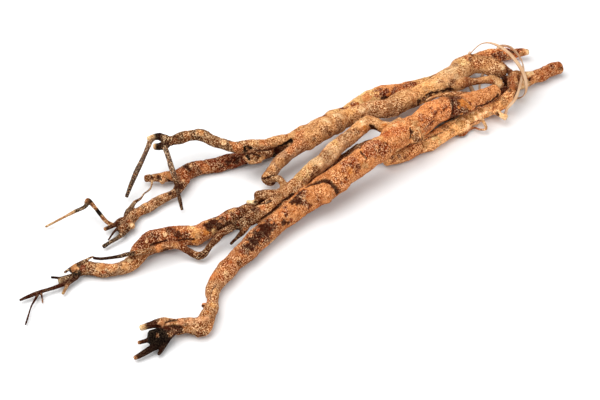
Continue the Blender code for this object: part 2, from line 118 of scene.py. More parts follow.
# Painted shade: the black of the claw's palm and lower prongs, in its hollow
FRONT_LIMBS = """
main / 183 -6 22.5 12.5, 171 -7 23 15, 155 -6 23.5 16, 141 -6 23.8 16.8, 129 -2 25 19.5,
  113 -5 25.5 20.5, 93 -9 26 21, 72 -12 26 21.5, 54 -16 26 20, 38 -19 25 20.5, 19 -21 23 20.5,
  -9 -26 19 21, -24 -27 17 19, -38 -28 15 18.5, -55 -31 13 17.5, -73 -36 11 17.5, -93 -42 9.5 16.5,
  -113 -49 8.5 15, -129 -56.5 8 14.5, -142 -63.5 7 12.5, -149 -74 7 9.5, -155 -82 7 11,
  -165 -90 7.5 12.5, -173 -93 7 11.5, -179 -87 7 9.5, -186 -84 7 10.5, -194 -83 7.5 10 /
  0.085 orange, 0.095 liver, 0.125 liver, 0.135 clay 1.25, 0.2 orange 1.08, 0.3 orange,
  0.45 orange 0.97, 0.6 orange 0.93, 0.66 clay 0.86, 0.76 clay 0.88, 0.84 grey, 0.91 hide 0.92,
  0.95 hide 0.8, 1 hide 0.7;
knee / 126 -1 26 17, 131 -3 26.5 16 / 0 clay 1.15, 1 orange 1.05;
lobe / -22 -28 18 17.5, -14.5 -31.5 19 19 / 0 red, 0.4 orange;
side_knob / 85 -15 27 13.5, 86 -22 23 11 / 0 tan 1.1;
sliver / 161 -5 25 7, 156 1 25.5 7, 149 5.5 26.5 5.5, 138 10.5 27.5 3.5, 129 13.5 27 2.5,
  124 15 25 2 / 0 brown 0.85, 0.3 brown 1.2, 0.45 hide, 0.8 tan, 1 pale;
nub / -155 -78 7 6, -158 -75 8 3.5 / 0 clay 1.2, 1 clay;
palm / -192 -85 8 11, -200 -86 7.5 13, -207 -83.5 7.5 12 / 0 umber, 0.4 black;
heel / -164 -91 7 10, -169 -96 6 9, -176 -96 5.5 7 / 0 clay, 1 tan;
ridge / -164 -93 11 5.5, -174 -90 12 6, -182 -85 12 6, -188 -82 12 6 / 0 buff 0.78, 1 buff 0.72;
prong_top / -186 -84 12 6.5, -193 -78 12.5 7.5, -198 -75 11 6.5, -204 -72 9.5 5, -208 -70 8 4.5 /
  0 tan 0.95, 0.35 grey 0.92, 0.5 umber, 0.8 umber, 0.85 cream;
prong_mid / -204 -84 7 6.5, -210 -82 6 3.5, -216 -80 5.5 3 / 0 black, 0.9 umber, 1 tan;
prong_low / -205 -90 5.5 5.5, -212 -90 5 5, -219 -90 4 4.5, -225 -90 3.5 3.5 / 0 black,
  0.88 umber 0.7, 1 hide;
prong_near / -192 -85 6 5.5, -198 -90 5 4, -204 -93.5 4 3.5, -209 -96.5 3.5 2.5 / 0 black,
  1 umber 0.7;
branch / 78 -5 25 11.5, 75 2 24 10, 72 8 23 10, 71 16 22 11, 67 21 22 12.5, 57 19 22 12,
  47 16 22 12.5, 36 12 22 13, 24 8 22 13.5, 13 3 22 14, -9 -4 22 13, -29 -11 21 12.5,
  -41 -15 20.5 12.5, -52 -18 20 12, -70 -22 19 11.5, -80 -23 18.5 11, -87 -23 17.5 9.5,
  -94 -22 16 7 / 0 pale 0.95, 0.1 tan, 0.2 tan 1.12, 0.28 tan 1.03, 0.33 grey 1.02, 0.37 pale,
  0.42 pale, 0.46 pale 0.88, 0.53 pale 0.95, 0.62 straw 0.88, 0.68 hide, 0.8 hide 0.92,
  0.88 hide 0.9, 0.94 brown 0.7, 1 brown 0.55;
branch_knob / 80 0 25 11, 87 3 25 10 / 0 tan 1.05;
tail / -87 -22 17 7, -94 -21 16 6.5, -100 -20 14 6, -106 -19 12 6, -111 -20 10 6, -119 -22 7.5 6,
  -125 -25 6 6, -130 -25 5.5 7, -133 -21 6 6.5, -136 -16 8 6, -139 -11.5 10 6, -143 -8.5 11.5 6,
  -149 -8 13 6.5, -157 -8.5 14.5 6, -163 -8 15.5 4.5, -170 -6 16 4, -176 -5 17 4, -181 -2 16 3.5,
  -186 2 13.5 3, -195 12 8.5 2.5, -199 19 6 2.5 / 0 brown 0.56, 0.1 brown 0.85, 0.15 brown,
  0.25 brown 0.82, 0.35 brown 0.58, 0.45 rust 0.78, 0.55 clay 0.8, 0.65 hide 0.78, 0.72 brown 0.55,
  0.85 umber 0.7, 1 umber 0.8;
stub / -45 -14 19.5 10.5, -52 -10 20 9.5, -58 -8 20.5 9.5, -64 -6 20.5 9 / 0 dust, 1 brown;
stub_tip / -65 -9 20 5, -70 -9 20 3.5, -73 -6 19.5 4 / 0 umber, 0.3 cream;
frays / -77 -18 21 5.5, -78 -13 21.5 3.5, -81 -10 21 2.5 / 0 hide 0.8;
curl / -44 -15 21 7, -41.5 -10 22 6.5, -38.5 -5 22.5 6.5, -38.5 1 22.5 6.5, -42 4.5 21.5 6 /
  0 tan 0.87, 1 dust 0.85;
twig / -86 -25 17 7, -91 -27 13 5, -95 -26 9 3.5, -102 -26 4.5 2.5 / 0 brown 0.85, 1 umber 0.9"""
# Painted shade: the dark tones of the neck and of the umber side limb on the root's shaded left
PALE_LIMBS = """
main / 232 0 18.5 4.5, 225 2 18.5 7, 215 4 19.5 10.5, 206 -4 19.5 10.5, 200 -10 17.5 10.5,
  192 -11.5 13.5 11, 183 -10.5 9.5 12.5, 172 -8 8 13, 154 -9 7 14, 136 -11 7 14.2, 118 -13 7 14.2,
  101 -14.5 7 14.5, 84 -15 7 14.5, 71 -14 7 13, 60 -13 6 10 / 0 tan 1.16, 0.08 tan 0.92,
  0.14 copper 0.76, 0.2 copper 0.72, 0.26 tan 1.28, 0.34 gold 1.14, 0.39 pale 1.28, 0.52 pale 1.24,
  0.6 gold 1.18, 0.7 tan 1.24, 0.78 tan 1.2, 0.86 clay 1.1, 0.93 tan 1.1, 1 tan 1.26;
neck / 215 5 18 8, 223.5 20.5 12 5, 229 34 7.5 4.5, 232 42 5 4.5 / 0 copper 0.7, 0.5 rust 0.75,
  1 umber;
stub / 177 -15 10 8, 178 -21 9 5, 180 -26 8 5 / 0 tan 1.26, 1 cream 1.1;
fold / 210 -1 18 9, 208 5.5 18.5 8, 205.5 9 18.5 6 / 0 umber 0.9;
rootlet / 163 -11 8 4.5, 161 -19 7 3, 159 -25 6 3, 157 -26 5 2.5, 154 -22 4 2, 153 -17 3 2,
  148 -16 2.5 2, 140 -19 2.5 2, 135 -18 3 2 / 0 pale, 0.35 pale 0.97, 0.5 rust, 0.8 rust 1.1,
  1 brown 1.2"""
# Painted shade: the brown middle of the main limb, where it lies between the front root and its
# branch
RED_LIMBS = """
main / 269 4 8 11, 261 6 7.5 11.5, 248 5 7.5 11.5, 235 5 8 11.5, 218 6 8 11, 204 7 8 11, 189 8 8 11,
  169 9 7.5 12, 141 10 7.5 13, 112 7 7.5 14.5, 82 3 8 15.5, 57 3 8.5 17, 37 4 8 15.5, 20 1 7.5 14.5,
  1 0 7 13.5, -40 -3 7 13.5, -80 -4.5 7.5 14.5, -94 -4.5 7.5 15.5, -108 -5 8 14.5, -121 -5 8.5 15.5,
  -131 0 8.5 16, -143 4 8.5 16.5, -153 6 9 18, -163 4 8.5 16.5, -173 -2 7 12.5, -181 -4 6.5 11,
  -191 -2 6 10, -199 2 6 10.5, -204 7 6 10.5, -210 12 6 10.5, -216 13 5.5 9 / 0 clay 0.94,
  0.03 clay 0.92, 0.07 clay 0.98, 0.085 cream, 0.115 cream, 0.125 red 0.95, 0.3 red 0.8, 0.45 brown,
  0.5 red 0.9, 0.54 red, 0.6 clay, 0.65 brown, 0.7 brown 1.1, 0.72 brown, 0.75 clay 0.85,
  0.79 clay 0.95, 0.81 rust 0.95, 0.87 rust 0.85, 0.89 hide 0.9, 0.92 grey 0.96, 0.93 ash 1.08,
  0.965 ash 0.92, 0.985 dust 0.76, 1 umber;
shoot / -213 13 5.5 7.5, -220 9.5 5 5.5, -227 7.5 4.5 4.5, -234 8 4 3, -242 9 4 3, -250 10.5 4 3,
  -260 11.5 3.5 3, -266 12 3 2 / 0 umber;
sub_long / -250 11 4 2.5, -256 6 3.5 2, -262 1 3 1.6, -268 -6 2.5 1.6, -274 -13 2 1.6 / 0 umber;
sub_short / -249 10.5 4 2, -251 5 3 1.6, -253 0 2.5 1.6 / 0 umber, 1 brown;
stub / -220 10.5 6 4.5, -227 10 6 4.5, -233 10.5 5.5 4 / 0 umber 0.7, 0.7 brown 0.7, 1 cream 0.7;
dark_twig / -225 11 7 2.5, -231 12.5 7 2, -236 18 6 2 / 0 umber, 1 black;
pale_twig / -224 8 5 3, -230 4.5 4 2.5, -236 0 3 2.5 / 0 umber, 0.5 ash, 1 straw 0.75;
strand / -201 14.5 12 1.6, -206 14.5 12 2, -213 14.5 11.5 2.5, -218 15 10.5 2.5, -226 15 8 2 /
  0 ash 0.8, 1 brown 0.6;
tuft / -213 14 8 7, -218 15 7.5 6, -221 15 7 4 / 0 umber 0.7, 1 brown 0.7"""

# The tie's closed route of two turns, as in the solids: x, y, height, width
TIE_BAND = [(216, 66, 0.5, 3), (217, 67, 4, 2.5), (213, 63, 12, 2.5), (204.2, 55, 20.7, 2.5),
            (198.2, 45.4, 28.4, 3), (200.5, 44, 32, 3), (206, 42, 36.5, 3.5), (210.5, 36, 39.5, 4.5),
            (213.5, 26.5, 40, 5.2), (216, 15, 37.5, 5.5), (216.5, 3.5, 33, 5.5), (216.5, -5, 27, 5),
            (215.5, -10, 20, 4.5), (215, -11.5, 14, 4), (214.5, -10, 8, 3.5), (213, -5, 2.5, 3.5),
            (207, 3, 0.5, 3), (198, 13, 0.5, 2.5), (194, 24, 0.5, 2), (203, 35, 0.5, 2),
            (215, 45, 0.5, 2.5), (232, 57, 0.5, 2.5), (246, 64, 0.5, 2.5), (251, 65, 3.5, 3),
            (249.5, 56, 10, 3), (246, 45, 15.5, 3.5), (242.5, 34, 18, 4), (238, 25, 20, 4.5),
            (232, 14.5, 22.8, 5), (224, 4, 25.4, 4.5), (217, -2.5, 24.5, 4), (210, -9, 24.5, 4),
            (204, -14, 24.5, 4), (199, -18.5, 24, 3.5), (193.5, -22, 22.5, 3.5), (189, -24, 20.5, 3),
            (185.5, -24, 18, 3), (183.5, -22.5, 13.5, 2.5), (185, -20, 7, 3), (186, -16, 2, 3),
            (185, -6, 0.5, 2.5), (185, 14, 0.5, 3), (189, 29, 0.5, 3.5), (196, 43, 0.5, 3.5),
            (205, 58, 0.5, 3.5)]

# Bark tones as they look in daylight: red, green, blue out of 255, and how speckled the bark is
TONES = {
    "cream": (246, 216, 170, 0.18), "pale": (234, 194, 148, 0.36), "straw": (232, 190, 130, 0.6),
    "gold": (228, 170, 108, 0.4), "buff": (214, 160, 120, 0.5), "frost": (214, 150, 100, 1.3),
    "tan": (208, 156, 106, 0.6), "hide": (176, 122, 78, 1.15), "clay": (200, 130, 82, 0.8),
    "orange": (214, 142, 88, 0.48), "amber": (206, 130, 62, 0.2), "copper": (202, 116, 66, 0.6),
    "grey": (178, 132, 94, 1.15), "ash": (148, 118, 92, 0.8), "slate": (128, 106, 97, 0.8),
    "dust": (144, 102, 68, 1.2), "scurf": (156, 78, 42, 1.3), "rust": (162, 84, 40, 1.0),
    "liver": (92, 40, 18, 1.0), "red": (112, 44, 18, 0.9), "brown": (108, 62, 32, 1.05),
    "umber": (60, 24, 8, 0.12), "black": (20, 9, 4, 0.05), "drab": (104, 74, 52, 1.1),
}

# The same in linear light
GAMMA = 2.2
LINEAR = {name: [*((value / 255) ** GAMMA for value in tone[:3]), tone[3]]
          for name, tone in TONES.items()}

# Patches in the order that they are painted in: x, y, height, reach, tone. Most are the bark's own
# marks; the dark ones in the gaps where roots lie against or under each other are painted shade, and
# a few pale ones are painted highlights
GREY_PATCHES = """
210 19 25 2 pale, 211 16 24 2 cream, 205 20 20 5.5 grey, 193 43 26 3.5 clay, 194 41 26 2 brown,
185 41 26 4.5 straw, 198 36 21 3.5 clay, 177 41 26 2.5 dust, 157 28 15 2 umber, 153 27 15 1.5 black,
161 27 14 2 umber, 163 28 21 3.5 grey, 141 30 17 2 brown, 147 29 16 2 brown, 125 30 9 3.5 brown,
127 28 14 2.5 umber, 139 29 14 2.5 brown, 83 37 19 6 grey, 103 31 16 7 grey, 74 40 22 3.5 pale,
62 41 23 4.5 gold, 48 39 27 4 pale, 34 37 28 4 pale, 45 32 22 5 grey, 28 30 26 4 grey,
24 45 26 3.5 pale, 6 35 28 4 clay, -1 30 24 4 clay, -9 27 23 4 clay, -8 37 22 2 umber,
-3 35 24 2 umber, -12 40 19 2.5 umber, -21 33 21 1.5 black, -10 39 19 1.5 black, -17 41 26 3.5 tan,
-25 44 27 3.5 clay, -33 47 27 2.5 tan, -42 40 23 2 umber, -40 47 22 1.5 umber, -36 46 24 1.5 umber,
-34 38 26 1.5 umber, -36 35 24 2 brown, -29 33 23 3.5 brown, -24 34 24 2.5 brown,
-41 34 19 2.5 pale, -33 33 20 2.5 tan, -46 49 26 4 clay, -53 60 29 2 pale, -47 55 29 2.5 clay,
-75 81 32 3.5 grey, -64 79 32 2.5 tan, -87 81 31 3.5 brown, -22 23 17 4 tan, -32 22 17 3.5 tan,
-41 16 10 3.5 brown, -36 11 10 3 umber, -35 11 9 2 umber, -39 19 16 2.5 tan, 182 22 19 3.5 grey,
191 17 20 2.5 tan, 194 4 21 2 pale, 195 1 19 2 cream, 193 10 20 2 rust, -78 80 29 2.5 dust,
120 29 12 1.5 brown, 134 29 14 2 brown, 108 29 9 2 dust, 93 34 7 2 dust, 72 36 16 2 dust,
53 34 16 2 grey, 32 29 21 2 dust, 14 25 25 2 dust, 175 32 24 2.5 tan, 154 33 23 2.5 grey,
138 34 21 2.5 tan, 163 34 26 2.5 pale, 202 36 23 2.5 grey, 204 28 22 2.5 tan"""
RUST_PATCHES = """
261 38 10 2.5 cream, 256 39 9 3 tan, 257 43 11 2.5 red, 253 47 11 3.5 clay, 238 45 8 3 red,
235 51 12 3.5 clay, 245 46 12 2 red, 236 48 10 3 red, 222 53 12 4.5 clay, 230 50 10 2.5 red,
216 60 12 3 tan, 167 55 11 2 rust, 162 54 12 2 red, 136 54 15 3.5 rust, 141 52 13 2.5 rust,
129 55 14 2.5 rust, 124 56 14 2 rust, 110 57 13 3.5 red, 109 56 10 2.5 umber, 114 57 15 2 red,
108 62 16 2.5 rust, 119 54 12 2 red, 123 55 13 2 rust, 94 61 13 4.5 orange, 103 58 13 1.5 rust,
80 60 12 2.5 rust, 83 59 12 1.5 rust, 69 63 11 2 rust, 73 60 11 1.5 rust, 50 61 12 2 rust,
46 61 12 1.5 rust, -41 55 10 3.5 red, -48 59 12 3.5 red, -57 58 10 3.5 red, -60 63 12 4 red,
-72 65 12 4 rust, -70 61 8 3.5 clay, -64 61 11 3.5 red, -86 67 14 2.5 umber, -82 66 14 1 cream,
-85 63 13 2 brown, -93 64 14 4 rust, -93 57 11 4 rust, -89 56 7 3.5 rust, -102 52 10 3.5 umber,
-96 55 11 1 pale, -100 67 10 3.5 clay, -104 71 11 3.5 tan, -101 68 4 2 umber, -109 71 9 2 brown,
-108 68 8 2 pale, -115 78 9 3.5 grey, -114 75 9 2 brown, -116 50 9 5 grey, -133 46 9 4 grey,
-143 45 7 4 hide, -135 50 10 2 tan, -112 50 9 1.5 umber, -156 36 9 3 grey, -156 34 8 2.5 pale,
-164 35 9 3 brown, -167 39 4 3 umber, 110 56 11 3 red, 110 55 10 2 umber, 114 57 14 2 red,
125 55 13 2 rust, 130 54 14 2 rust, 133 54 14 2 red, 138 53 14 2 red, 142 53 14 1.5 red,
115 54 11 1.5 amber, 80 61 12 2 red, 69 63 11 1.5 red, 50 62 11 1.5 red, 240 46 4 2.5 red,
243 44 6 2 grey, 248 44 10 3 rust, 253 43 11 2 red, 262 38 10 2 cream, -115 77 9 2 brown,
-110 72 9 1.5 umber, -103 72 11 2 clay, -109 68 7 1.5 pale, -35 55 11 2 umber, -45 55 9 3 umber,
-52 56 9 2 umber, -58 57 8 2 liver"""
FRONT_PATCHES = """
166 -12 29 8.5 orange, 161 -14 22 2 rust, 167 -15 22 2 red, 174 -14 22 2 umber,
180 -13 23 1.5 umber, 155 -14 22 2 red, 142 -11 30 3.5 amber, 143 -14 27 3 amber,
149 -13 28 1.5 red, 135 -10 31 4 liver, 134 -13 25 3.5 red, 140 -15 25 3.5 liver,
146 -14 23 2.5 liver, 124 -3 35 5 orange, 125 -9 33 1.5 rust, 116 -10 35 1.5 rust,
124 -14 27 3.5 clay, 103 -17 31 4 rust, 99 -19 26 3.5 rust, 97 -13 36 3.5 rust, 110 -12 33 2.5 rust,
113 -13 22 3.5 clay, 79 -13 37 4 orange, 86 -16 35 3.5 tan, 66 -16 37 5 copper,
59 -14 36 3.5 copper, 75 -17 35 2.5 copper, 82 -23 28 3.5 dust, 83 -25 25 2.5 brown,
88 -25 23 1.5 umber, 81 -20 31 1.5 umber, 77 -19 18 2.5 black, 82 -23 20 2 umber, 80 1 30 3.5 tan,
44 -22 36 5 scurf, 36 -20 35 4 scurf, 37 -26 33 4 scurf, 47 -26 30 3.5 scurf, 51 -16 36 2.5 gold,
44 -15 36 2.5 tan, 60 -23 30 5 orange, 64 -23 21 3.5 tan, 18 -22 33 3 scurf, 25 -23 32 3 orange,
19 -28 29 2.5 red, 14 -27 31 2.5 red, 10 -30 29 2.5 amber, 4 -29 31 1.5 red, 1 -32 28 1.5 red,
-4 -29 29 3 frost, 2 -34 24 3 clay, -5 -34 25 2.5 orange, 26 -29 27 3 tan, 31 -28 30 3 orange,
-21 -33 26 5.5 orange, -15 -38 23 4 orange, -20 -38 19 4 orange, -32 -26 25 2.5 red,
-40 -29 24 3 red, -45 -30 23 3 umber, -37 -34 21 3 red, -35 -30 24 1.5 pale, -34 -35 17 2 red,
-45 -36 19 4.5 orange, -59 -33 21 4 orange, -55 -34 20 2.5 rust, -53 -30 21 1.5 red,
-53 -39 15 1.5 red, -61 -40 16 2.5 umber, -57 -39 14 1.5 umber, -74 -44 7 2.5 tan,
-84 -46 6 3 orange, -114 -48 15 3 buff, -108 -50 15 3 clay, -121 -53 15 3 rust,
-112 -55 12 2.5 brown, -129 -57 15 3 clay, -137 -58 13 4 orange, -145 -66 13 3 hide,
-147 -72 12 3 tan, -153 -75 10 2 clay, -154 -83 12 2.5 gold, -162 -90 14 3 hide, -159 -77 9 1 umber,
-170 -93 14 3 buff, -178 -90 14 3 buff, -184 -86 14 2.5 buff, -191 -83 14 2.5 buff,
-194 -79 16 2 grey, -190 -82 15 1 umber, -177 -96 10 3.5 grey, -171 -98 10 3 grey,
-163 -96 11 2.5 hide, -181 -91 9 3 hide, -175 -99 6 3 brown, -178 -96 5 2 dust, -171 -101 7 2 dust,
-187 -88 9 3 umber, -195 -86 13 2 umber, -194 -91 11 2.5 brown, -202 -88 14 3.5 black,
70 4 27 3 amber, 66 14 22 2 umber, 67 12 21 2 umber, 67 18 27 3.5 tan, 57 13 25 2.5 amber,
59 19 28 3.5 pale, 43 13 27 3 grey, 36 11 29 3.5 dust, 34 17 26 2.5 grey, 48 13 26 2.5 dust,
23 2 27 4 pale, 39 6 24 3.5 tan, 21 7 30 3 straw, 5 -2 28 3.5 dust, 7 7 26 2.5 grey,
-3 -7 28 3 pale, -13 -7 28 3 tan, -21 -8 28 3 tan, -14 -12 24 2.5 brown, -7 -10 23 2.5 dust,
-30 -17 25 3 grey, -36 -20 24 3 dust, -43 -22 22 2.5 brown, -23 -15 25 2.5 dust, -64 -25 23 4 tan,
-70 -23 25 3 clay, -57 -22 25 3 grey, -47 -21 25 2.5 grey, -76 -23 24 3 liver, -84 -23 23 3.5 liver,
-91 -24 20 3 liver, -85 -28 20 3 brown, -89 -28 17 2.5 grey, -73 -28 22 2.5 dust,
-63 -10 24 4 brown, -56 -11 25 3 grey, -63 -11 19 2.5 umber, -132 -22 9 3 brown, -143 -11 14 3 tan,
-157 -10 17 3 orange, -152 -11 12 2.5 umber, -172 -7 18 4 dust, 37 -13 33 3.5 scurf,
42 -17 36 3.5 scurf, 47 -21 36 3.5 scurf, 32 -24 34 3.5 scurf, 49 -25 31 3.5 scurf, 42 -24 35 3 red,
42 -24 35 1.5 frost, 10 -23 33 3 scurf, 19 -25 32 3 scurf, 17 -30 26 2 scurf, 5 -28 32 2 scurf,
0 -31 29 4 frost, -8 -33 26 4 frost, 0 -35 23 3 frost, -4 -30 28 1 red, -1 -34 25 1 red,
-10 -35 25 1 red, -5 -36 21 1 red, 4 -33 26 1 red, -10 -30 28 1 red, 121 -11 33 1.5 red,
125 -10 32 1 red, 112 -12 34 1.5 red, 117 -13 32 1 rust, 111 -7 36 1.5 rust, 162 -14 20 1 red,
167 -15 21 1 red, 172 -14 21 1 red, 144 -13 27 1.5 rust, 137 -13 29 1 amber, 139 -14 22 1 amber,
149 -14 20 1.5 rust, 41 15 28 3 dust, 38 9 28 2.5 grey, 9 1 29 2 dust, 5 -4 28 2 dust,
-9 -8 27 2 dust, -11 -10 25 2 dust, 68 5 25 2.5 gold, 66 -7 36 2.5 gold, 70 -10 37 1.5 pale,
80 1 30 2.5 tan, 78 -9 37 2 tan, 88 -19 32 1.5 pale, 95 -18 22 1.5 pale, -74 -39 19 5.5 liver,
-82 -42 18 7 liver, -94 -45 16 5.5 liver, -89 -44 17 6 liver, -96 -46 17 5.5 liver,
-102 -48 17 4 liver, -82 -45 15 4.5 liver, -77 -39 18 3 umber, -78 -40 18 5 umber,
-85 -42 18 5 umber, -92 -43 17 2.5 umber, -71 -39 19 2.5 umber, -100 -47 17 2.5 umber,
-94 -45 16 2.5 umber, -99 -49 16 2.5 umber, -84 -24 23 2.5 drab, -90 -23 21 2.5 drab,
-78 -24 24 2.5 drab, -84 -27 20 2 drab, -66 -8 23 3 brown, -60 -11 24 2.5 dust, -56 -16 25 3 brown,
-51 -19 25 2.5 dust, -162 -88 14 1 amber, -151 -77 11 1.5 hide, -143 -71 11 2 tan,
-168 -93 14 1.5 tan, -197 -80 13 2 buff, -173 -92 14 2 buff, -166 -94 14 2 buff, -133 -63 13 2 rust,
-120 -57 14 1.5 rust, -128 -60 14 1.5 pale, -112 -52 14 1.5 pale, -190 -88 10 2.5 liver,
-204 -88 13 1 brown, -72 -35 20 2.5 liver, -70 -40 18 2 liver, -79 -37 19 2.5 umber,
-92 -47 16 2.5 umber, -103 -50 15 2.5 liver, -106 -49 16 2 red, -37 -28 25 3.5 liver,
-37 -34 22 2.5 liver, -42 -31 23 3 umber, -32 -31 24 1.5 rust, -56 -36 19 1.5 liver,
-85 -46 15 1 rust, -98 -44 18 1 orange, -71 -37 20 1 orange, -84 -38 19 1 rust,
-83 -23 23 4.5 brown, -86 -26 22 2.5 umber, -91 -26 19 2 umber, -75 -16 23 3 brown,
-77 -20 24 2 umber, -89 -26 19 3 drab"""
PALE_PATCHES = """
227 1 21 2.5 cream, 231 0 21 2 cream, 208 -5 24 2.5 tan, 206 -9 23 2 dust, 202 -13 21 1.5 brown,
198 -6 19 2.5 umber, 188 -8 17 2.5 orange, 188 -15 16 3.5 tan, 177 -15 14 2 orange,
163 -11 14 2.5 gold, 157 -12 14 2.5 gold, 173 -14 8 2.5 pale, 150 -13 12 4.5 gold,
139 -14 13 4.5 gold, 168 -13 6 3.5 gold, 175 -20 10 1.5 brown, 179 -28 9 2.5 cream,
135 -15 2 1.5 rust, 108 -18 13 3.5 straw, 96 -20 12 3.5 tan, 84 -22 10 4 orange, 123 -13 14 3.5 tan,
111 -8 11 2.5 dust, 208 4 23 2 brown, 201 -3 22 2 brown, 196 -10 21 1.5 brown, 64 -17 10 1.5 red,
70 -18 10 1.5 red, 65 -19 8 1.5 rust, 74 -20 8 1.5 red, 111 -21 9 2 straw, 127 -18 11 2 tan"""
RED_PATCHES = """
-86 -4 15 3 tan, -94 -1 14 3 scurf, -86 -8 14 3 umber, -94 -7 14 2.5 clay, -102 1 13 3 umber,
-105 -8 14 3 umber, -112 -9 15 3 umber, -95 -11 11 3 umber, -87 -11 11 2.5 dust,
-101 -12 10 3 umber, -116 -12 13 2.5 amber, -123 -9 15 4 gold, -125 -11 9 3 amber,
-124 -3 16 2.5 straw, -132 0 16 3 clay, -131 -6 13 3 liver, -136 -3 14 2.5 umber, -139 3 17 2.5 red,
-144 2 17 2.5 clay, -153 2 17 4 red, -160 1 17 3 red, -161 4 18 2 cream, -167 1 15 3 red,
-172 2 14 2.5 rust, -179 2 9 2.5 cream, -180 -4 11 1.5 cream, -176 -2 12 2.5 brown, -178 -8 8 3 tan,
-185 -7 10 3 tan, -194 -2 11 4 tan, -202 2 11 4 tan, -201 -2 8 1.5 rust, -206 1 6 2.5 hide,
-207 8 11 3 dust, -213 8 7 2 dust, -213 10 10 2 red, -219 10 8 3 black, -218 13 10 2.5 tan,
30 4 15 4 brown, 37 4 15 2.5 brown, 17 0 14 4 red, -2 -4 13 3.5 amber, 264 4 14 2.5 rust,
252 5 14 3.5 rust, 259 4 13 2.5 red, 243 1 11 3.5 clay, 235 0 10 3 orange, 232 2 13 2.5 rust,
266 0 11 2 brown, 237 1 5 3 tan, 244 0 5 3 orange, 253 1 11 3.5 rust, 265 2 13 2.5 rust,
-139 3 17 4 liver, -145 1 16 1.5 pale, -161 3 18 1.5 pale, -149 -1 13 2.5 rust, -157 3 18 2 rust,
-92 -7 14 2.5 scurf, -84 -7 14 2.5 scurf, -101 -4 14 2 liver, -122 -11 12 2 tan,
-104 -5 14 3.5 liver, -110 -10 14 3 umber, -97 -7 14 3 liver, -87 -7 14 2.5 liver,
-103 -10 12 2.5 umber, -78 -6 14 2.5 liver, -85 -10 12 3 liver, -108 1 13 2 straw,
-109 -12 11 2 straw, -110 -3 15 1.5 tan, -106 -7 14 4 umber, -112 -9 15 2.5 umber,
-100 -4 14 1 straw, -163 4 17 4 red, -155 3 18 2.5 liver, -161 1 17 1 pale"""

# Dents, and bumps where the depth is below 0: x, y, height, reach, depth
GREY_DENTS = """
-33 46.5 26.5 6 -0.9, 127 29 11.5 2 1, 126 30.5 8 2 0.8, 157 28 14.5 2 1, 161 27 14.5 2 0.8"""
RUST_DENTS = "109.5 56.5 12.5 2.5 0.4, -85.5 67 13.5 2 0.9"
FRONT_DENTS = """
-22 -34 25.5 7 -1, -16.5 -39 22.5 6.5 -1, 133.5 -8.5 31 2.5 0.8, 132 -11.5 28.5 2.5 0.8,
121 -6.5 35 7.5 -0.8, 77 -21.5 20.5 2.5 1.5, -206.5 -88.5 12 4.5 2, -202.5 -89 13 3.5 1.5,
65.5 14.5 21.5 2 1, 67 11.5 20.5 2 1, -64 -10.5 18.5 2 1.2, -64 -19.5 25 2 1.2"""
PALE_DENTS = "175 -20 10 1.5 0.8"
RED_DENTS = "-103 -6 14.5 4 0.4, -180 0.5 10 2.5 -0.6"

# Cracks: half width, depth and the tone inside, then the points of the line. Black, umber and brown
# inside a crack is painted shade in its groove; red, rust and amber lines are the bark's own streaks
GREY_CRACKS = """
1.2 2.2 black, -40 48 25.5, -41 47 22.5, -42.5 42.5 22, -43 37.5 21;
1 1.3 umber, -38 47.5 26, -35.5 45.5 23.5, -35 39 26.5, -31 36 26, -25.5 35 25, -20 35 24;
1.8 2.4 black, -21.5 32.5 18.5, -20.5 33.5 22, -11 39 19.5, -7.5 37 21.5, -3 35 24.5;
1 0.9 umber, -40.5 39.5 25, -37.5 36.5 24.5, -34.5 34 22.5;
1.2 1 umber, 151 28 16, 157 28 14.5, 161.5 27 14.5;
1 0.8 umber, 136 30 16.5, 142.5 29.5 16.5, 149 28 15.5;
1.4 1.2 umber, 123 31 8, 126 29.5 9.5, 129 29 12.5;
1.2 1 umber, -42 19.5 12, -39 15 15, -34 14 15.5, -35 11.5 10;
1.2 0.3 brown, 215.5 25 24.5, 216.5 20 24, 218 17.5 20.5, 217.5 16.5 16.5, 216 16 15, 199 1 21;
0.8 0.5 brown, 111 28.5 12, 120 31 8, 125.5 29.5 9.5;
0.8 0.4 brown, 85.5 35 11, 92.5 32.5 9.5, 100.5 30 10;
0.8 0.4 dust, 42.5 31 17, 55 36.5 11.5, 62.5 36 13.5"""
RUST_CRACKS = """
0.9 0.5 umber, 107 56 10, 109.5 55 8.5, 113.5 54 9.5;
1.2 0.8 umber, -86 71.5 12, -86 64.5 13.5, -85 62 12.5;
1 0.8 umber, -112 80 8.5, -114 74.5 9;
1 0.8 umber, -109 73 10, -109 69 8.5;
1 0.8 umber, -103.5 68.5 6.5, -99.5 67.5 3.5;
1 0.6 umber, -113.5 53 8.5, -111.5 49 8.5;
1.1 0 red, 103.5 62 15, 107 60.5 15.5, 111 60.5 15.5;
1.3 0 red, 122.5 56.5 14, 118.5 54 11.5, 116 54 10;
1.2 0.4 umber, 240 52.5 12.5, 245.5 49 12, 248 43.5 10.5"""
